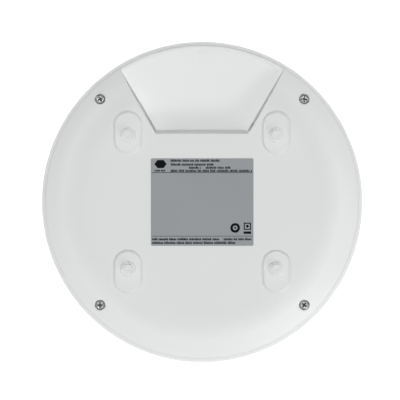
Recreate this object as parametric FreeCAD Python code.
import FreeCAD, Part
import math
import os

# Ceiling access point, millimetres. +Z points up at the ceiling, +Y at the cable bay.
# The origin is the centre of the four stud pattern, in the plane of the stud heads' undersides.

# ---------------------------------------------------------------- driving dimensions
OUTER_R = 90.0            # widest radius, on the front cover
BACK_Z = -4.0             # flat of the rear cover
BODY_DEPTH = 35.0         # rear flat to front centre
WALL = 2.2                # moulded wall of both covers
FLAT_R = 63.0             # rear flat ends here and the dome starts
REAR_R = 87.5             # outer radius of the rear cover
REAR_DROP = 9.5           # rear flat to the rear cover's rim
SKIRT_Z = -17.2           # lower edge of the rear cover's skirt
SKIRT_R = 85.0            # inner radius of that skirt
FRONT_Z = BACK_Z - BODY_DEPTH

PARTING_GAP = 0.08        # fine joint line between the two covers
RIM_Z = -14.0             # top of the front cover's ring
RIM_WIDEST_Z = -18.5      # where the ring reaches its widest radius
SIDE_Z = -22.3            # where the side starts to curve into the front
FRONT_CORNER_R = 12.5
LEDGE_Z = -17.4           # step that the rear cover's skirt hangs over
LEDGE_R = 85.4
LEDGE_DEPTH = 1.2

BAY_HALF_WIDTH = 25.9     # cable bay, half of its inner edge on the rear flat
BAY_Y = 38.1              # that edge, where a sloped brow starts
BAY_ANGLE = 60.2          # slanted sides, degrees from X
BAY_DRAFT = 4.5           # lean of the slanted sides, degrees
BAY_WALL = 2.0
BAY_CORNER_R = 1.5
BROW_Z = -7.2             # lower edge of the brow over the ports
PORT_Y = 39.8             # face of the wall that holds the ports
BAY_FLOOR_Z = -21.5       # at the port wall
BAY_FLOOR_FLAT_R = 39.0   # the floor is a dish of revolution, level at this radius
BAY_LIP_R = 85.6          # the floor's raised lip at the rim
BAY_LIP_Z = -14.0
BAY_LIP_STEP = 0.15
BAY_RIM_UNDERSIDE_Z = -16.3

RIB_BAR_W, RIB_BAR_D, RIB_BAR_Y = 7.0, 0.9, 83.4     # T-shaped catch rib: bar across the rim end
RIB_STEM_W, RIB_STEM_L = 3.0, 4.4
RIB_BAR_H, RIB_STEM_H = 0.4, 0.2
RIB_ROOT = 1.0            # how far the rib is sunk into the bay floor

PAD_X, PAD_Y = 41.3, 38.6          # centres of the raised pads
PAD_WIDTH, PAD_LENGTH = 16.4, 24.6
PAD_HEIGHT = 1.0
PAD_SLOPE = 1.3           # width of a pad's sloped edge
PAD_EDGE_R = 1.0
PAD_ROOT = 1.2            # how far a pad is sunk into the rear wall
STUD_X, STUD_Y = 41.2, 37.2        # centres of the hanging studs
STUD_HEAD_R, STUD_HEAD_H = 3.0, 1.8
STUD_NECK_R = 1.9
STUD_COLLAR_R, STUD_COLLAR_H = 4.2, 1.0
STUD_DIMPLE_R, STUD_DIMPLE_H = 1.2, 0.5
STUD_EDGE_R = 0.4

COVER_SCREW_X, COVER_SCREW_Y = 57.0, 57.5   # the four cover screws lie near the diagonals
SCREW_POCKET_R = 3.0
SCREW_SEAT_Z = -12.6
REAR_BOSS_R = 4.7
BOSS_JOINT_Z = -16.9      # the rear and front bosses meet here
FRONT_BOSS_R = 3.5
INSERT_R, INSERT_L = 2.1, 5.0
M3_SHANK_R, M3_HEAD_R, M3_HEAD_H = 1.5, 2.8, 2.2
M3_HEAD_ROUND, M3_TIP_CHAMFER = 1.0, 0.4
RECESS_LONG, RECESS_SHORT, RECESS_DEPTH = 3.2, 0.8, 1.3   # cross slot in a screw head
SCREW_TURN = 28.0         # each screw stops this many degrees on from the one before
COVER_SCREW_L = 10.0
SLIP = 0.05               # radial clearance between parts that are pressed or screwed together
CLEAR_HOLE_R = 1.7

LABEL_W, LABEL_L, LABEL_T = 57.1, 48.7, 0.15
LABEL_CORNER_R = 0.8

BOARD_TOP_Z = -21.2
BOARD_T = 1.6
BOARD_R = 76.0
BOARD_BOTTOM_Z = BOARD_TOP_Z - BOARD_T
BOARD_BAY_GAP = 0.5
BOARD_SCREWS = [(66.0, 6.0), (48.0, -48.0), (37.0, 27.0)]   # and their mirror images in X
STANDOFF_R = 3.5
THREAD_SPARE = 1.5        # core hole beyond the screw's tip

SINK_TOP_Z = -26.3
SINK_T = 2.0
SINK_R = 74.0
SINK_FRONT_Z = SINK_TOP_Z - SINK_T
SINK_BOSS_R = 4.0
FIN_COUNT, FIN_PITCH, FIN_T, FIN_H = 7, 6.0, 1.4, 3.6
FIN_Y0, FIN_Y1 = -26.0, 12.0
LEAD_WINDOW = (41.2, 47.4, 11.0, 24.0)   # opening in the plate for a lead, in X and Y
PIPE_WINDOW_GAP = 0.6
BOARD_SCREW_L = 14.0

JACK_W, JACK_H, JACK_D = 16.0, 13.4, 21.0   # eight-pole modular jack
JACK_FRONT_Y = PORT_Y - 0.3
JACK_SHEET = 0.25
JACK_WINDOW_W, JACK_WINDOW_LOW, JACK_WINDOW_HIGH = 13.2, 0.7, 1.4   # width, and frame below and above
ETHERNET_X, CONSOLE_X = -12.6, 5.0
PLUG_W, PLUG_H, PLUG_DEPTH = 11.8, 6.9, 14.0
PLUG_FLOOR = 1.4          # plastic under the plug
LATCH_STEPS = [(6.2, 1.6), (3.4, 1.4)]      # width and height of the latch slot's two steps
CONTACT_PITCH, CONTACT_W, CONTACT_T, CONTACT_COUNT = 1.02, 0.45, 0.3, 8
CONTACT_FRONT, CONTACT_KNEE = 3.2, 4.2      # depths behind the jack's face
CONTACT_RISE = 2.1        # height at the back
CUTOUT_GAP = 0.15

DC_X, DC_W, DC_H, DC_D = 19.2, 9.0, 11.0, 14.0
DC_SOCKET_R, DC_SOCKET_DEPTH = 3.2, 9.5
DC_PIN_R = 1.0
DC_PIN_SETBACK = 0.8
DC_EDGE_R = 0.6

RESET_X, RESET_Z = -22.9, -19.0
RESET_R, RESET_GAP = 1.1, 0.3
RESET_FRONT_Y = PORT_Y - 0.5
RESET_L = 4.2
RESET_EDGE_R = 0.25
SWITCH_W, SWITCH_D, SWITCH_H = 3.9, 4.0, 3.8
SWITCH_FRONT_Y = BAY_Y - BAY_WALL - 0.3
SWITCH_BORE = 1.6

CAN_H, CAN_T, CAN_CORNER_R = 2.6, 0.25, 1.0
SOC_XY, SOC_CAN, SOC_SIZE, SOC_T = (0.0, -8.0), 34.0, 19.0, 1.6
RADIO_X, RADIO_CAN, RADIO_SIZE, RADIO_T = 32.0, 22.0, 12.0, 1.0

ANTENNA_X, ANTENNA_Y = 53.0, 30.0
ANTENNA_W, ANTENNA_L, ANTENNA_H, ANTENNA_T = 10.0, 24.0, 3.4, 0.4
ANTENNA_FOOT = 6.0
ANTENNA_SCREW_R, ANTENNA_SCREW_HEAD_R, ANTENNA_SCREW_HEAD_H = 1.0, 1.9, 1.3
LEAD_R = 0.565            # 1.13 mm coaxial lead
LEAD_ROUTE = [(46.5, 6.0), (46.5, 12.5), (44.2, 20.0), (44.2, 28.0)]
LEAD_HIGH_Z = -24.3
LEAD_LOW_Z = -29.4
LEAD_ARC = 0.45           # share of the shorter run that an arc may use
CONNECTOR_SIZE, CONNECTOR_T = 2.6, 0.7
CONNECTOR_Y = 4.0
LEAD_PLUG_R, LEAD_PLUG_H, LEAD_PLUG_TAIL_W = 1.5, 1.4, 1.8

LED_Y = -69.0
LED_SIZE, LED_H = 2.0, 0.8
PIPE_R, PIPE_FLANGE_R, PIPE_FLANGE_H = 1.5, 2.6, 1.0
PIPE_FLANGE_RISE = 3.8    # above the front cover's inner face at its centre
PIPE_GUIDE_H, PIPE_GUIDE_WALL = 9.0, 1.4
PIPE_TOP_Z = -24.0

TOUCH = 1e-6


# ---------------------------------------------------------------- helpers
def vec(x, y, z):
    return FreeCAD.Vector(x, y, z)


def box(x0, x1, y0, y1, z0, z1):
    return Part.makeBox(x1 - x0, y1 - y0, z1 - z0, vec(x0, y0, z0))


def block(x, y, z, dx, dy, dz):
    """A box centred on x, y and standing on z; a negative dz hangs it below z."""
    return box(x - dx / 2, x + dx / 2, y - dy / 2, y + dy / 2, min(z, z + dz), max(z, z + dz))


def post(x, y, z0, z1, r):
    return Part.makeCylinder(r, z1 - z0, vec(x, y, z0))


def rod_y(x, z, y0, y1, r):
    return Part.makeCylinder(r, y1 - y0, vec(x, y0, z), vec(0, 1, 0))


def line(p, q):
    return Part.LineSegment(vec(p[0], 0, p[1]), vec(q[0], 0, q[1])).toShape()


def lines(points):
    return [line(p, q) for p, q in zip(points, points[1:])]


def arc(p, m, q):
    return Part.Arc(vec(p[0], 0, p[1]), vec(m[0], 0, m[1]), vec(q[0], 0, q[1])).toShape()


def level_arc(start, end):
    """An arc in the radial plane that leaves start level and ends at end."""
    dr, dz = end[0] - start[0], end[1] - start[1]
    radius = (dr * dr + dz * dz) / (2 * abs(dz))
    half = math.asin(dr / radius) / 2
    rise = math.copysign(radius * (1 - math.cos(half)), dz)
    return arc(start, (start[0] + radius * math.sin(half), start[1] + rise), end)


def upright_arc(start, end):
    """An arc in the radial plane that arrives upright at end."""
    dr, dz = end[0] - start[0], end[1] - start[1]
    radius = (dr * dr + dz * dz) / (2 * abs(dr))
    half = math.asin(abs(dz) / radius) / 2
    sag = math.copysign(radius * (1 - math.cos(half)), dr)
    rise = math.copysign(radius * math.sin(half), dz)
    return arc(start, (end[0] - sag, end[1] - rise), end)


def corner_arc(before, corner, after, reach):
    """The tangent arc that rounds a corner: its start, edge, end, radius and length."""
    to_before, to_after = before - corner, after - corner
    turn = math.pi - to_before.getAngle(to_after)
    radius = reach / math.tan(turn / 2)
    to_before.normalize()
    to_after.normalize()
    start, end = corner + to_before * reach, corner + to_after * reach
    inward = to_before + to_after
    inward.normalize()
    middle = corner + inward * (radius / math.cos(turn / 2) - radius)
    return start, Part.Arc(start, middle, end).toShape(), end, radius, radius * turn


def turned(edges):
    """The closed radial outline turned once about Z."""
    outline = Part.Face(Part.Wire(Part.__sortEdges__(edges)))
    return outline.revolve(vec(0, 0, 0), vec(0, 0, 1), 360)


def fused(shapes):
    first, *rest = shapes
    return first.multiFuse(rest).removeSplitter()


def is_level(edge, z):
    return max(abs(edge.BoundBox.ZMin - z), abs(edge.BoundBox.ZMax - z)) < TOUCH


def is_upright(edge):
    return edge.BoundBox.ZLength > 0.1 and max(edge.BoundBox.XLength, edge.BoundBox.YLength) < TOUCH


def level_edges(shape, z):
    return [e for e in shape.Edges if is_level(e, z)]


def upright_edges(shape):
    return [e for e in shape.Edges if is_upright(e)]


def chip(x, y, z, dx, dy, dz, corner=0.2):
    body = block(x, y, z, dx, dy, dz)
    return body.makeFillet(corner, upright_edges(body))


def four_ways(x, y):
    return [(sx * x, sy * y) for sx in (-1, 1) for sy in (-1, 1)]


def cover_screw_places():
    return four_ways(COVER_SCREW_X, COVER_SCREW_Y)


def board_screw_places():
    return [(side * x, y) for x, y in BOARD_SCREWS for side in (-1, 1)]


def save(node, shapes):
    solids = shapes if isinstance(shapes, list) else [shapes]
    for solid in solids:
        if len(solid.Solids) != 1 or not solid.isValid():
            raise ValueError(f"{node} has a piece that is not one valid solid")
    shape = solids[0] if len(solids) == 1 else Part.makeCompound(solids)
    shape.exportStep(f"parts/{node}.step")
    print(f"{node:28s} {len(solids):3d} solids {shape.Volume:10.1f} mm3")


# ---------------------------------------------------------------- rear cover
def bay_corners(z, shift, near_y):
    """The bay's trapezoid at height z: sides moved out by shift, inner edge at near_y."""
    slope = math.radians(BAY_ANGLE)
    side_x = BAY_HALF_WIDTH + shift / math.sin(slope)
    far_y = OUTER_R + 5
    near_x = side_x + (near_y - BAY_Y) / math.tan(slope)
    far_x = side_x + (far_y - BAY_Y) / math.tan(slope)
    return [vec(-far_x, far_y, z), vec(-near_x, near_y, z), vec(near_x, near_y, z), vec(far_x, far_y, z)]


def bay_wire(z, shift, near_y, corner_r=BAY_CORNER_R):
    far_left, near_left, near_right, far_right = bay_corners(z, shift, near_y)
    reach = corner_r * math.tan(math.radians(BAY_ANGLE) / 2)
    left_in, left_arc, left_out, *_ = corner_arc(far_left, near_left, near_right, reach)
    right_in, right_arc, right_out, *_ = corner_arc(near_left, near_right, far_right, reach)
    runs = [(far_left, left_in), (left_out, right_in), (right_out, far_right), (far_right, far_left)]
    sides = [Part.LineSegment(p, q).toShape() for p, q in runs]
    return Part.Wire([sides[0], left_arc, sides[1], right_arc, sides[2], sides[3]])


def bay_prism(grow, z0, z1):
    """Upright prism of the bay's outline on the rear flat, grown on its three walled sides."""
    outline = bay_wire(z0, grow, BAY_Y - grow, BAY_CORNER_R + grow)
    return Part.Face(outline).extrude(vec(0, 0, z1 - z0))


def bay_draft(z):
    """How far the slanted sides have leaned inwards at height z."""
    return -(BACK_Z - z) * math.tan(math.radians(BAY_DRAFT))


def bay_well():
    """The bay's walls: upright above the flat, a sloped brow, then the port wall and leaning sides."""
    top, low = BACK_Z + 5, BAY_FLOOR_Z - 1
    at_flat = bay_wire(BACK_Z, 0, BAY_Y)
    at_brow = bay_wire(BROW_Z, bay_draft(BROW_Z), PORT_Y)
    at_low = bay_wire(low, bay_draft(low), PORT_Y)
    mouth = Part.Face(at_flat).extrude(vec(0, 0, top - BACK_Z))
    brow = Part.makeLoft([at_flat, at_brow], True, True)
    well = Part.makeLoft([at_brow, at_low], True, True)
    return mouth.multiFuse([brow, well])


def dome_radius():
    dr = REAR_R - FLAT_R
    return (dr * dr + REAR_DROP * REAR_DROP) / (2 * REAR_DROP)


def dome_z(r, inset=0.0):
    """Height of the rear dome at radius r, on a surface inset below the outer one."""
    return BACK_Z - dome_radius() + math.sqrt((dome_radius() - inset) ** 2 - (r - FLAT_R) ** 2)


def rear_rim():
    return (REAR_R, dome_z(REAR_R))


def rear_outline():
    """Edges of the rear cover's outside, from its centre to its rim."""
    return lines([(0, BACK_Z), (FLAT_R, BACK_Z)]) + [level_arc((FLAT_R, BACK_Z), rear_rim())]


def rear_shell():
    inner_end = (SKIRT_R, dome_z(SKIRT_R, WALL))
    inner_flat = (FLAT_R, BACK_Z - WALL)
    edges = rear_outline()
    edges += lines([rear_rim(), (REAR_R, SKIRT_Z), (SKIRT_R, SKIRT_Z), inner_end])
    edges.append(level_arc(inner_flat, inner_end))
    edges += lines([inner_flat, (0, BACK_Z - WALL), (0, BACK_Z)])
    return turned(edges)


def bay_block():
    """Solid from the rear cover's outside down to the underside of the bay floor."""
    under_rim = (REAR_R, BAY_RIM_UNDERSIDE_Z)
    under_flat = (BAY_FLOOR_FLAT_R, BAY_FLOOR_Z - BAY_WALL)
    edges = rear_outline() + lines([rear_rim(), under_rim])
    edges.append(level_arc(under_flat, under_rim))
    edges += lines([under_flat, (0, under_flat[1]), (0, BACK_Z)])
    return turned(edges).common(bay_prism(BAY_WALL, BAY_FLOOR_Z - 10, 0))


def bay_space():
    """The open space of the bay, from its dished floor upwards."""
    above = 5.0
    flat = (BAY_FLOOR_FLAT_R, BAY_FLOOR_Z)
    lip_foot = (BAY_LIP_R, BAY_LIP_Z - BAY_LIP_STEP)
    lip_top = (BAY_LIP_R + BAY_LIP_STEP, BAY_LIP_Z)
    edges = [level_arc(flat, lip_foot)]
    edges += lines([lip_foot, lip_top, (OUTER_R, BAY_LIP_Z), (OUTER_R, above)])
    edges += lines([(OUTER_R, above), (0, above), (0, BAY_FLOOR_Z), flat])
    return turned(edges).common(bay_well())


def under_floor(rise):
    """Everything below the bay's dished floor, with that floor raised by rise."""
    base = BAY_FLOOR_Z - 5
    flat = (BAY_FLOOR_FLAT_R, BAY_FLOOR_Z + rise)
    lip_foot = (BAY_LIP_R, BAY_LIP_Z - BAY_LIP_STEP + rise)
    edges = [level_arc(flat, lip_foot)]
    edges += lines([lip_foot, (BAY_LIP_R, base), (0, base), (0, flat[1]), flat])
    return turned(edges)


def catch_rib():
    """Low T-shaped rib on the bay floor at the rim, where a bracket's latch rests."""
    low, high = BAY_FLOOR_Z, BAY_LIP_Z + 1
    bar = block(0, RIB_BAR_Y + RIB_BAR_D / 2, low, RIB_BAR_W, RIB_BAR_D, high - low)
    stem = block(0, RIB_BAR_Y - RIB_STEM_L / 2, low, RIB_STEM_W, RIB_STEM_L, high - low)
    raised = [bar.common(under_floor(RIB_BAR_H)), stem.common(under_floor(RIB_STEM_H))]
    return fused(raised).cut(under_floor(-RIB_ROOT))


def pad(x, y):
    """Raised stadium with sloped edges that spreads the load round a stud."""
    half = PAD_WIDTH / 2
    run = PAD_LENGTH / 2 - half
    bottom, top = BACK_Z - PAD_ROOT, BACK_Z + PAD_HEIGHT
    crest = half - PAD_SLOPE
    pieces = [block(x, y, bottom, PAD_WIDTH, 2 * run, PAD_ROOT)]
    for end in (y - run, y + run):
        pieces.append(post(x, end, bottom, BACK_Z, half))
        pieces.append(Part.makeCone(half, crest, PAD_HEIGHT, vec(x, end, BACK_Z)))
    outline = [(-half, BACK_Z), (half, BACK_Z), (crest, top), (-crest, top), (-half, BACK_Z)]
    ridge = Part.makePolygon([vec(x + across, y - run, z) for across, z in outline])
    pieces.append(Part.Face(ridge).extrude(vec(0, 2 * run, 0)))
    body = fused(pieces)
    return body.makeFillet(PAD_EDGE_R, level_edges(body, top))


def stud(x, y):
    """Mushroom stud: collar, neck and a head with a dimple."""
    foot = BACK_Z + PAD_HEIGHT
    collar = post(x, y, foot - 0.5, foot + STUD_COLLAR_H, STUD_COLLAR_R)
    collar = collar.makeFillet(STUD_EDGE_R, level_edges(collar, foot + STUD_COLLAR_H))
    neck = post(x, y, foot, 0.2, STUD_NECK_R)
    head = post(x, y, 0, STUD_HEAD_H, STUD_HEAD_R)
    head = head.makeFillet(STUD_EDGE_R, level_edges(head, STUD_HEAD_H))
    dimple = post(x, y, STUD_HEAD_H - STUD_DIMPLE_H, STUD_HEAD_H + 1, STUD_DIMPLE_R)
    return fused([collar, neck, head]).cut(dimple)


def screw_pocket(x, y):
    pocket = post(x, y, SCREW_SEAT_Z, BACK_Z + 1, SCREW_POCKET_R)
    return pocket.fuse(post(x, y, BOSS_JOINT_Z - 1, SCREW_SEAT_Z + 0.1, CLEAR_HOLE_R))


def rear_boss(x, y):
    """Boss round a cover screw, trimmed to stay under the dome."""
    raw = post(x, y, BOSS_JOINT_Z, BACK_Z, REAR_BOSS_R)
    low = SKIRT_Z - 1
    edges = rear_outline() + lines([rear_rim(), (REAR_R, low), (0, low), (0, BACK_Z)])
    return raw.common(turned(edges))


def standoff(x, y):
    return post(x, y, BOARD_TOP_Z, BACK_Z - WALL / 2, STANDOFF_R)


def standoff_core(x, y):
    depth = BOARD_SCREW_L - (BOARD_TOP_Z - SINK_FRONT_Z) + THREAD_SPARE
    return post(x, y, BOARD_TOP_Z - 1, BOARD_TOP_Z + depth, M3_SHANK_R + SLIP)


def port_cutouts():
    inside, outside = BAY_Y - 2 * BAY_WALL, PORT_Y + 1
    cuts = [rod_y(RESET_X, RESET_Z, inside, outside, RESET_R + RESET_GAP)]
    for x, width, height in ((ETHERNET_X, JACK_W, JACK_H), (CONSOLE_X, JACK_W, JACK_H), (DC_X, DC_W, DC_H)):
        half, top = width / 2 + CUTOUT_GAP, BOARD_TOP_Z + height + CUTOUT_GAP
        cuts.append(box(x - half, x + half, inside, outside, BOARD_TOP_Z - CUTOUT_GAP, top))
    return cuts


def rear_cover():
    pads = [pad(x, y) for x, y in four_ways(PAD_X, PAD_Y)]
    bosses = [rear_boss(x, y) for x, y in cover_screw_places()]
    standoffs = [standoff(x, y) for x, y in board_screw_places()]
    body = fused([rear_shell(), bay_block()] + bosses + standoffs + pads)
    body = body.cut(bay_space())
    body = fused([body, catch_rib()] + [stud(x, y) for x, y in four_ways(STUD_X, STUD_Y)])
    cuts = [screw_pocket(x, y) for x, y in cover_screw_places()]
    cuts += [standoff_core(x, y) for x, y in board_screw_places()]
    return body.cut(cuts + port_cutouts())


# ---------------------------------------------------------------- front cover
def front_dome_radius(inset=0.0):
    """Radius of the shallow front dome, tangent to the corner, on a surface inset from the outside."""
    corner_r = FRONT_CORNER_R - inset
    corner_x = OUTER_R - FRONT_CORNER_R
    height = SIDE_Z - FRONT_Z - inset
    return (corner_x ** 2 + height ** 2 - corner_r ** 2) / (2 * (height - corner_r))


def front_dome(inset):
    """Side curve and shallow front dome, tangent to each other, with the start of the side."""
    corner_r = FRONT_CORNER_R - inset
    corner_x = OUTER_R - FRONT_CORNER_R
    front_z = FRONT_Z + inset
    dome_r = front_dome_radius(inset)
    lean = math.asin(corner_x / (dome_r - corner_r))
    tangent = (dome_r * math.sin(lean), front_z + dome_r * (1 - math.cos(lean)))
    turn = (math.pi / 2 - lean) / 2
    middle = (corner_x + corner_r * math.cos(turn), SIDE_Z - corner_r * math.sin(turn))
    side = (corner_x + corner_r, SIDE_Z)
    return side, [arc(side, middle, tangent), level_arc((0, front_z), tangent)]


def front_shell():
    rim_r = REAR_R + PARTING_GAP
    rim = (rim_r, RIM_Z)
    widest = (OUTER_R, RIM_WIDEST_Z)
    outer_side, outer_edges = front_dome(0)
    inner_side, inner_edges = front_dome(WALL)
    edges = [upright_arc(rim, widest), line(widest, outer_side)] + outer_edges
    edges.append(line((0, FRONT_Z), (0, FRONT_Z + WALL)))
    edges += inner_edges
    ledge = [inner_side, (LEDGE_R, LEDGE_Z - LEDGE_DEPTH), (LEDGE_R, LEDGE_Z), (rim_r, LEDGE_Z), rim]
    edges += lines(ledge)
    return turned(edges)


def front_envelope():
    """Everything inside the front cover's outer surface, to trim what is moulded on it."""
    outer_side, outer_edges = front_dome(WALL / 2)
    top = (outer_side[0], RIM_Z)
    back = lines([(0, FRONT_Z + WALL / 2), (0, RIM_Z), top])
    return turned([line(top, outer_side)] + outer_edges + back)


def front_cover():
    bosses = [post(x, y, FRONT_Z, BOSS_JOINT_Z, FRONT_BOSS_R) for x, y in cover_screw_places()]
    guide = post(0, LED_Y, FRONT_Z, FRONT_Z + PIPE_GUIDE_H, PIPE_FLANGE_R + PIPE_GUIDE_WALL)
    inside = front_envelope()
    body = fused([front_shell()] + [b.common(inside) for b in bosses + [guide]])
    cuts = []
    for x, y in cover_screw_places():
        cuts.append(post(x, y, BOSS_JOINT_Z - INSERT_L - 0.2, BOSS_JOINT_Z + 1, INSERT_R + SLIP))
        cuts.append(post(x, y, BOSS_JOINT_Z - COVER_SCREW_L, BOSS_JOINT_Z, CLEAR_HOLE_R))
    cuts.append(post(0, LED_Y, FRONT_Z - 1, SINK_FRONT_Z, PIPE_R + SLIP))
    cuts.append(post(0, LED_Y, pipe_flange_z(), SINK_FRONT_Z, PIPE_FLANGE_R + SLIP))
    return body.cut(cuts)


def pipe_flange_z():
    """Underside of the light pipe's flange, on the front cover's inner face."""
    return FRONT_Z + WALL + PIPE_FLANGE_RISE


# ---------------------------------------------------------------- fasteners
def cross_recess(x, y, z_open, way, turn):
    """Cross slot cut into a screw head whose top is at z_open, turned by turn degrees."""
    axis = vec(0, 0, 1)
    over = way * 0.5
    slot = block(0, 0, z_open + over, RECESS_LONG, RECESS_SHORT, -way * RECESS_DEPTH - over)
    cross = slot.fuse(slot.rotated(vec(0, 0, 0), axis, 90))
    return cross.rotated(vec(0, 0, 0), axis, turn).translated(vec(x, y, 0))


def pan_screw(x, y, seat_z, length, way, turn):
    """M3 pan-head screw; way is +1 when the head is above its seat, -1 when below."""
    head_end = seat_z + way * M3_HEAD_H
    head = post(x, y, min(seat_z, head_end), max(seat_z, head_end), M3_HEAD_R)
    head = head.makeFillet(M3_HEAD_ROUND, level_edges(head, head_end))
    head = head.cut(cross_recess(x, y, head_end, way, turn))
    tip = seat_z - way * length
    shank = post(x, y, min(seat_z, tip), max(seat_z, tip), M3_SHANK_R)
    shank = shank.makeChamfer(M3_TIP_CHAMFER, level_edges(shank, tip))
    return head.fuse(shank)


def pan_screws(places, seat_z, length, way):
    """Equal screws, each stopped at its own angle."""
    return [pan_screw(x, y, seat_z, length, way, SCREW_TURN * i) for i, (x, y) in enumerate(places)]


def brass_insert(x, y):
    """Threaded insert with a plain groove between two knurled bands."""
    top = BOSS_JOINT_Z
    body = post(x, y, top - INSERT_L, top, INSERT_R)
    groove = post(x, y, top - INSERT_L / 2 - 0.4, top - INSERT_L / 2 + 0.4, INSERT_R + 1)
    groove = groove.cut(post(x, y, top - INSERT_L, top, INSERT_R - 0.3))
    bore = post(x, y, top - INSERT_L - 1, top + 1, M3_SHANK_R + SLIP)
    return body.cut([groove, bore])


# ---------------------------------------------------------------- board and heat sink
def main_board():
    board = post(0, 0, BOARD_BOTTOM_Z, BOARD_TOP_Z, BOARD_R)
    keep_out = bay_prism(BAY_WALL + BOARD_BAY_GAP, BOARD_BOTTOM_Z - 1, BOARD_TOP_Z + 1)
    holes = [post(x, y, BOARD_BOTTOM_Z - 1, BOARD_TOP_Z + 1, CLEAR_HOLE_R) for x, y in board_screw_places()]
    return board.cut([keep_out] + holes)


def lead_window(sx, sy):
    """Opening in the plate that an antenna's lead passes down through."""
    return placed(box(*LEAD_WINDOW, SINK_FRONT_Z - 1, SINK_TOP_Z + 1), sx, sy)


def heat_sink():
    """Die-cast plate behind the front cover: bosses up to the board, low fins on the front."""
    plate = post(0, 0, SINK_FRONT_Z, SINK_TOP_Z, SINK_R)
    bosses = [post(x, y, SINK_TOP_Z - 1, BOARD_BOTTOM_Z, SINK_BOSS_R) for x, y in board_screw_places()]
    first = -FIN_PITCH * (FIN_COUNT - 1) / 2
    middle_y = (FIN_Y0 + FIN_Y1) / 2
    fins = []
    for i in range(FIN_COUNT):
        x = first + i * FIN_PITCH
        fins.append(block(x, middle_y, SINK_FRONT_Z + 0.5, FIN_T, FIN_Y1 - FIN_Y0, -FIN_H - 0.5))
    body = fused([plate] + bosses + fins)
    cuts = [post(x, y, SINK_FRONT_Z - 1, BOARD_BOTTOM_Z + 1, CLEAR_HOLE_R) for x, y in board_screw_places()]
    cuts += [lead_window(sx, sy) for sx, sy in four_ways(1, 1)]
    tapped = ANTENNA_SCREW_R + SLIP
    cuts += [post(x, y, SINK_FRONT_Z - 1, SINK_TOP_Z + 1, tapped) for x, y in antenna_screw_places()]
    cuts.append(post(0, LED_Y, SINK_FRONT_Z - 1, SINK_TOP_Z + 1, PIPE_R + PIPE_WINDOW_GAP))
    return body.cut(cuts)


def shield_can(x, y, size):
    """Deep-drawn sheet box over a chip, open towards the board."""
    outer = block(x, y, BOARD_BOTTOM_Z, size, size, -CAN_H)
    outer = outer.makeFillet(CAN_CORNER_R, upright_edges(outer))
    inner = block(x, y, BOARD_BOTTOM_Z, size - 2 * CAN_T, size - 2 * CAN_T, -(CAN_H - CAN_T))
    inner = inner.makeFillet(CAN_CORNER_R - CAN_T, upright_edges(inner))
    return outer.cut(inner)


def gap_pad(x, y, size, z_top, z_bottom):
    return chip(x, y, z_top, size, size, z_bottom - z_top, 1.0)


# ---------------------------------------------------------------- ports
def port_bounds(x, width, depth, height):
    """Lowest and highest X, Y and Z of a port that stands on the board, face in the port wall."""
    low, high = x - width / 2, x + width / 2
    return (low, high, JACK_FRONT_Y - depth, JACK_FRONT_Y, BOARD_TOP_Z, BOARD_TOP_Z + height)


def jack_bounds(x):
    return port_bounds(x, JACK_W, JACK_D, JACK_H)


def jack_shield(x):
    """Folded sheet round the jack: top, sides, back and a frame round the plug opening."""
    x0, x1, y0, y1, z0, z1 = jack_bounds(x)
    t = JACK_SHEET
    shell = box(x0, x1, y0, y1, z0, z1).cut(box(x0 + t, x1 - t, y0 + t, y1 - t, z0 - 1, z1 - t))
    half = JACK_WINDOW_W / 2
    window = box(x - half, x + half, y1 - 1, y1 + 1, z0 + JACK_WINDOW_LOW, z1 - JACK_WINDOW_HIGH)
    return shell.cut(window)


def plug_cavity(x):
    front = JACK_FRONT_Y + 1
    back = JACK_FRONT_Y - PLUG_DEPTH
    z = BOARD_TOP_Z + PLUG_FLOOR
    cavity = box(x - PLUG_W / 2, x + PLUG_W / 2, back, front, z, z + PLUG_H)
    z += PLUG_H
    for width, height in LATCH_STEPS:
        cavity = cavity.fuse(box(x - width / 2, x + width / 2, back, front, z - 0.01, z + height))
        z += height
    return cavity


def jack_housing(x):
    x0, x1, y0, y1, z0, z1 = jack_bounds(x)
    t = JACK_SHEET + SLIP
    body = box(x0 + t, x1 - t, y0 + t, y1 - t, z0, z1 - t)
    return body.cut(plug_cavity(x)).removeSplitter()


def jack_contacts(x):
    """Eight sprung wires that lean over the cavity floor."""
    floor = BOARD_TOP_Z + PLUG_FLOOR
    top = floor + CONTACT_T
    front, knee, back = (JACK_FRONT_Y - depth for depth in (CONTACT_FRONT, CONTACT_KNEE, PLUG_DEPTH))
    under = [(front, floor), (knee, floor), (back, floor + CONTACT_RISE - CONTACT_T)]
    over = [(back, floor + CONTACT_RISE), (knee, top), (front, top)]
    wires = []
    for i in range(CONTACT_COUNT):
        left = x + (i - (CONTACT_COUNT - 1) / 2) * CONTACT_PITCH - CONTACT_W / 2
        corners = [vec(left, y, z) for y, z in under + over]
        wires.append(Part.Face(Part.makePolygon(corners + corners[:1])).extrude(vec(CONTACT_W, 0, 0)))
    return wires


def dc_jack_bounds():
    return port_bounds(DC_X, DC_W, DC_D, DC_H)


def dc_jack_housing():
    x0, x1, y0, y1, z0, z1 = dc_jack_bounds()
    axis_z = (z0 + z1) / 2
    body = box(x0, x1, y0, y1, z0, z1)
    top_edges = [e for e in body.Edges if e.BoundBox.YLength > 1 and e.BoundBox.ZMin > z1 - 0.1]
    body = body.makeFillet(DC_EDGE_R, top_edges)
    socket = rod_y(DC_X, axis_z, y1 - DC_SOCKET_DEPTH, y1 + 1, DC_SOCKET_R)
    return body.cut(socket)


def dc_jack_pin():
    x0, x1, y0, y1, z0, z1 = dc_jack_bounds()
    tip = y1 - DC_PIN_SETBACK
    pin = rod_y(DC_X, (z0 + z1) / 2, y1 - DC_SOCKET_DEPTH, tip, DC_PIN_R)
    return pin.makeFillet(DC_EDGE_R, [e for e in pin.Edges if e.BoundBox.YMin > tip - TOUCH])


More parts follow.
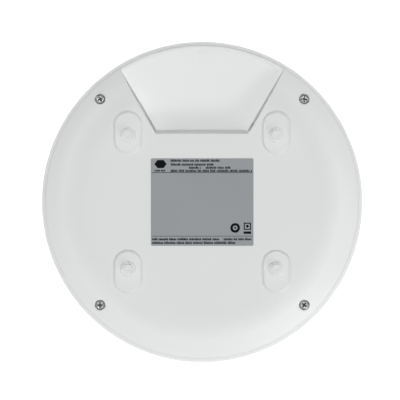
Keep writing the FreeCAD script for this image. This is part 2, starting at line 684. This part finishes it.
def reset_switch():
    body = block(RESET_X, SWITCH_FRONT_Y - SWITCH_D / 2, BOARD_TOP_Z, SWITCH_W, SWITCH_D, SWITCH_H)
    bore = rod_y(RESET_X, RESET_Z, SWITCH_FRONT_Y - SWITCH_BORE, SWITCH_FRONT_Y + 1, RESET_R + RESET_GAP)
    return body.cut(bore)


def reset_button():
    cap = rod_y(RESET_X, RESET_Z, RESET_FRONT_Y - RESET_L, RESET_FRONT_Y, RESET_R)
    return cap.makeFillet(RESET_EDGE_R, [e for e in cap.Edges if e.BoundBox.YMin > RESET_FRONT_Y - TOUCH])


# ---------------------------------------------------------------- power parts and small parts on the board
def capacitor(x, y, r, height):
    """Upright electrolytic capacitor with a crimped neck near its base."""
    top = BOARD_TOP_Z + height
    can = post(x, y, BOARD_TOP_Z + 0.3, top, r)
    can = can.makeFillet(0.6, level_edges(can, top))
    crimp = Part.makeTorus(r + 0.25, 0.6, vec(x, y, BOARD_TOP_Z + 2.0))
    foot = block(x, y, BOARD_TOP_Z, 1.6 * r, 1.6 * r, 0.4)
    return can.cut(crimp).fuse(foot)


def capacitors():
    places = [(-24.0, -14.0, 5.0, 12.0), (-37.0, -20.0, 4.0, 10.5), (40.0, -22.0, 4.0, 10.5)]
    return [capacitor(*place) for place in places]


def poe_transformer_core():
    """Ferrite core of two end plates joined by two legs."""
    x, y, w, d, h = -46.0, 2.0, 13.5, 17.0, 11.5
    core = block(x, y, BOARD_TOP_Z + 1.0, w, d, h - 1.0)
    return core.cut(block(x, y, BOARD_TOP_Z + 3.4, w + 2, d - 6.0, h - 5.8))


def poe_transformer_coil():
    """Taped coil that fills the core's window and stands out of both sides of it."""
    x, y, z = -46.0, 2.0, BOARD_TOP_Z + 3.6
    coil = block(x, y, z, 17.0, 10.6, 5.3)
    return coil.makeFillet(1.6, upright_edges(coil))


def inductors():
    size, height, corner = 7.3, 4.2, 1.6
    places = [(31.0, 6.0), (31.0, -5.0), (43.0, 0.0)]
    return [chip(x, y, BOARD_TOP_Z, size, size, height, corner) for x, y in places]


def bridge_rectifiers():
    return [chip(-29.0, y, BOARD_TOP_Z, 6.4, 5.2, 2.4, 0.4) for y in (10.0, 2.0)]


def memory_chips():
    return [chip(x, -30.0, BOARD_TOP_Z, 9.0, 13.0, 1.1) for x in (-8.0, 8.0)]


def crystals():
    return [chip(x, -31.0, BOARD_BOTTOM_Z, 3.2, 2.5, -0.8, 0.3) for x in (-6.0, 6.0)]


def chip_capacitors():
    """Rows of small ceramic capacitors on the board's upper side."""
    parts = []
    for row, y in enumerate((-42.0, -46.0, -50.0)):
        for i in range(8 - 2 * row):
            x = (i - (7 - 2 * row) / 2) * 5.0
            parts.append(block(x, y, BOARD_TOP_Z, 2.0, 1.25, 1.0))
    return parts


# ---------------------------------------------------------------- antennas and their leads
def antenna_screw_y():
    """Y of the screw through the foot of the antenna in the +Y half."""
    return ANTENNA_Y + ANTENNA_L / 2 - ANTENNA_FOOT / 2 - ANTENNA_T


def antenna_screw_places():
    return four_ways(ANTENNA_X, antenna_screw_y())


def antenna(sx, sy):
    """Stamped inverted-F antenna: foot on the plate, end wall, slotted radiator, feed tab and crimp."""
    x0, x1 = ANTENNA_X - ANTENNA_W / 2, ANTENNA_X + ANTENNA_W / 2
    y0, y1 = ANTENNA_Y - ANTENNA_L / 2, ANTENNA_Y + ANTENNA_L / 2
    base, top, t = SINK_FRONT_Z, SINK_FRONT_Z - ANTENNA_H, ANTENNA_T
    feed_y = LEAD_ROUTE[-1][1]
    radiator = box(x0, x1, y0, y1, top, top + t)
    slot = box(x0 + 3.0, x0 + 4.2, y0 - 1, y1 - 7.0, top - 1, base)
    wall = box(x0 + 1, x1 - 1, y1 - t, y1, top, base)
    foot = box(x0 + 1, x1 - 1, y1 - ANTENNA_FOOT, y1, base - t, base)
    foot = foot.cut(post(ANTENNA_X, antenna_screw_y(), base - 1, base + 1, ANTENNA_SCREW_R + SLIP))
    tab = box(x0, x0 + t, feed_y, feed_y + 2.2, top, base - 0.6)
    link = box(LEAD_ROUTE[-1][0], x0 + t, feed_y, feed_y + 2.2, base - 1.9, base - 1.5)
    crimp = block(LEAD_ROUTE[-1][0], feed_y + 1.1, LEAD_LOW_Z - 0.8, 1.9, 2.2, 1.6)
    body = fused([radiator.cut(slot), wall, foot, tab, link, crimp])
    return placed(body, sx, sy)


def placed(shape, sx, sy):
    """Mirror a shape made for the +X +Y quarter into another quarter."""
    if sx < 0:
        shape = shape.mirror(vec(0, 0, 0), vec(1, 0, 0))
    if sy < 0:
        shape = shape.mirror(vec(0, 0, 0), vec(0, 1, 0))
    return shape


def antenna_screw(x, y):
    """M2 screw from the front, through the antenna's foot into the plate."""
    seat = SINK_FRONT_Z - ANTENNA_T
    face = seat - ANTENNA_SCREW_HEAD_H
    head = post(x, y, face, seat, ANTENNA_SCREW_HEAD_R)
    head = head.makeFillet(0.5, level_edges(head, face))
    slot = block(x, y, face - 0.1, 2.2, 0.5, 0.7)
    return head.cut(slot).fuse(post(x, y, seat, SINK_TOP_Z - 0.1, ANTENNA_SCREW_R))


def rounded_path(points):
    """Straight runs joined by tangent arcs, each as large as its two runs allow."""
    edges, here, length = [], points[0], 0.0
    for before, corner, after in zip(points, points[1:], points[2:]):
        reach = LEAD_ARC * min((before - corner).Length, (after - corner).Length)
        start, edge, end, radius, arc_length = corner_arc(before, corner, after, reach)
        edges += [Part.LineSegment(here, start).toShape(), edge]
        print(f"lead arc radius {radius:.1f} mm")
        length += (start - here).Length + arc_length
        here = end
    edges.append(Part.LineSegment(here, points[-1]).toShape())
    return Part.Wire(edges), length + (points[-1] - here).Length


def antenna_lead(sx, sy):
    """Coaxial lead from a board connector, down through the plate's window, to the antenna's crimp."""
    heights = (LEAD_HIGH_Z, LEAD_HIGH_Z, LEAD_LOW_Z, LEAD_LOW_Z)
    points = [vec(x, y, z) for (x, y), z in zip(LEAD_ROUTE, heights)]
    path, length = rounded_path(points)
    section = Part.Wire(Part.makeCircle(LEAD_R, points[0], points[1] - points[0]))
    lead = path.makePipeShell([section], True, False)
    print(f"lead length {length:.1f} mm, volume ratio {lead.Volume / (math.pi * LEAD_R ** 2 * length):.4f}")
    return placed(lead, sx, sy)


def antenna_connector(sx, sy):
    x = LEAD_ROUTE[0][0]
    base = block(x, CONNECTOR_Y, BOARD_BOTTOM_Z, CONNECTOR_SIZE, CONNECTOR_SIZE, -0.4)
    ring = post(x, CONNECTOR_Y, BOARD_BOTTOM_Z - CONNECTOR_T, BOARD_BOTTOM_Z - 0.3, 1.0)
    return placed(base.fuse(ring), sx, sy)


def antenna_plug(sx, sy):
    """Round snap plug with a crimp tail that the lead leaves from."""
    x, top = LEAD_ROUTE[0][0], BOARD_BOTTOM_Z - CONNECTOR_T
    cap = post(x, CONNECTOR_Y, top - LEAD_PLUG_H, top, LEAD_PLUG_R)
    lead_y, half = LEAD_ROUTE[0][1], LEAD_PLUG_TAIL_W / 2
    tail = box(x - half, x + half, CONNECTOR_Y, lead_y, top - LEAD_PLUG_H, top)
    return placed(cap.fuse(tail), sx, sy)


# ---------------------------------------------------------------- indicator
def indicator_led():
    return block(0, LED_Y, BOARD_BOTTOM_Z, LED_SIZE, LED_SIZE, -LED_H)


def light_pipe():
    """Clear rod from the lamp to the front face, with a locating flange."""
    bottom = front_surface_z(abs(LED_Y)) + 0.1
    rod = post(0, LED_Y, bottom, PIPE_TOP_Z, PIPE_R)
    flange_z = pipe_flange_z()
    return rod.fuse(post(0, LED_Y, flange_z, flange_z + PIPE_FLANGE_H, PIPE_FLANGE_R))


def front_surface_z(r):
    """Height of the front cover's outer dome at radius r."""
    dome_r = front_dome_radius()
    return FRONT_Z + dome_r - math.sqrt(dome_r ** 2 - r ** 2)


# ---------------------------------------------------------------- the label
def rating_label():
    label = block(0, 0, BACK_Z, LABEL_W, LABEL_L, LABEL_T)
    return label.makeFillet(LABEL_CORNER_R, upright_edges(label))


# ---------------------------------------------------------------- write every node
def main():
    os.makedirs("parts", exist_ok=True)
    quarters = four_ways(1, 1)
    can_bottom = BOARD_BOTTOM_Z - CAN_H
    can_inside = can_bottom + CAN_T
    soc_bottom = BOARD_BOTTOM_Z - SOC_T
    radio_bottom = BOARD_BOTTOM_Z - RADIO_T
    radios = [(-RADIO_X, 0.0), (RADIO_X, 0.0)]

    save("rear_cover", rear_cover())
    save("front_cover", front_cover())
    save("rating_label", rating_label())
    save("cover_screws", pan_screws(cover_screw_places(), SCREW_SEAT_Z, COVER_SCREW_L, 1))
    save("cover_screw_inserts", [brass_insert(x, y) for x, y in cover_screw_places()])

    save("main_board", main_board())
    save("heat_sink", heat_sink())
    save("board_screws", pan_screws(board_screw_places(), SINK_FRONT_Z, BOARD_SCREW_L, -1))
    save("soc_chip", chip(*SOC_XY, BOARD_BOTTOM_Z, SOC_SIZE, SOC_SIZE, -SOC_T))
    save("soc_shield_can", shield_can(*SOC_XY, SOC_CAN))
    save("soc_inner_thermal_pad", gap_pad(*SOC_XY, SOC_SIZE - 2, soc_bottom, can_inside))
    save("soc_outer_thermal_pad", gap_pad(*SOC_XY, SOC_CAN - 8, can_bottom, SINK_TOP_Z))
    save("radio_chips", [chip(x, y, BOARD_BOTTOM_Z, RADIO_SIZE, RADIO_SIZE, -RADIO_T) for x, y in radios])
    save("radio_shield_cans", [shield_can(x, y, RADIO_CAN) for x, y in radios])
    inner_pads = [gap_pad(x, y, RADIO_SIZE - 2, radio_bottom, can_inside) for x, y in radios]
    outer_pads = [gap_pad(x, y, RADIO_CAN - 6, can_bottom, SINK_TOP_Z) for x, y in radios]
    save("radio_inner_thermal_pads", inner_pads)
    save("radio_outer_thermal_pads", outer_pads)
    save("memory_chips", memory_chips())
    save("flash_chip", chip(24.0, -32.0, BOARD_TOP_Z, 8.0, 6.0, 0.9))
    save("crystals", crystals())

    for name, x in (("ethernet", ETHERNET_X), ("console", CONSOLE_X)):
        save(f"{name}_jack_housing", jack_housing(x))
        save(f"{name}_jack_shield", jack_shield(x))
        save(f"{name}_jack_contacts", jack_contacts(x))
    save("dc_jack_housing", dc_jack_housing())
    save("dc_jack_pin", dc_jack_pin())
    save("reset_switch", reset_switch())
    save("reset_button", reset_button())

    save("ethernet_transformer", chip(ETHERNET_X, 6.0, BOARD_TOP_Z, 17.6, 14.0, 6.0, 0.5))
    save("poe_transformer_core", poe_transformer_core())
    save("poe_transformer_coil", poe_transformer_coil())
    save("bridge_rectifiers", bridge_rectifiers())
    save("electrolytic_capacitors", capacitors())
    save("power_inductors", inductors())
    save("chip_capacitors", chip_capacitors())

    for number, (sx, sy) in enumerate(quarters, 1):
        save(f"antenna_{number}", antenna(sx, sy))
        save(f"antenna_lead_{number}", antenna_lead(sx, sy))
    save("antenna_screws", [antenna_screw(x, y) for x, y in antenna_screw_places()])
    save("antenna_connectors", [antenna_connector(sx, sy) for sx, sy in quarters])
    save("antenna_plugs", [antenna_plug(sx, sy) for sx, sy in quarters])

    save("indicator_led", indicator_led())
    save("light_pipe", light_pipe())


main()
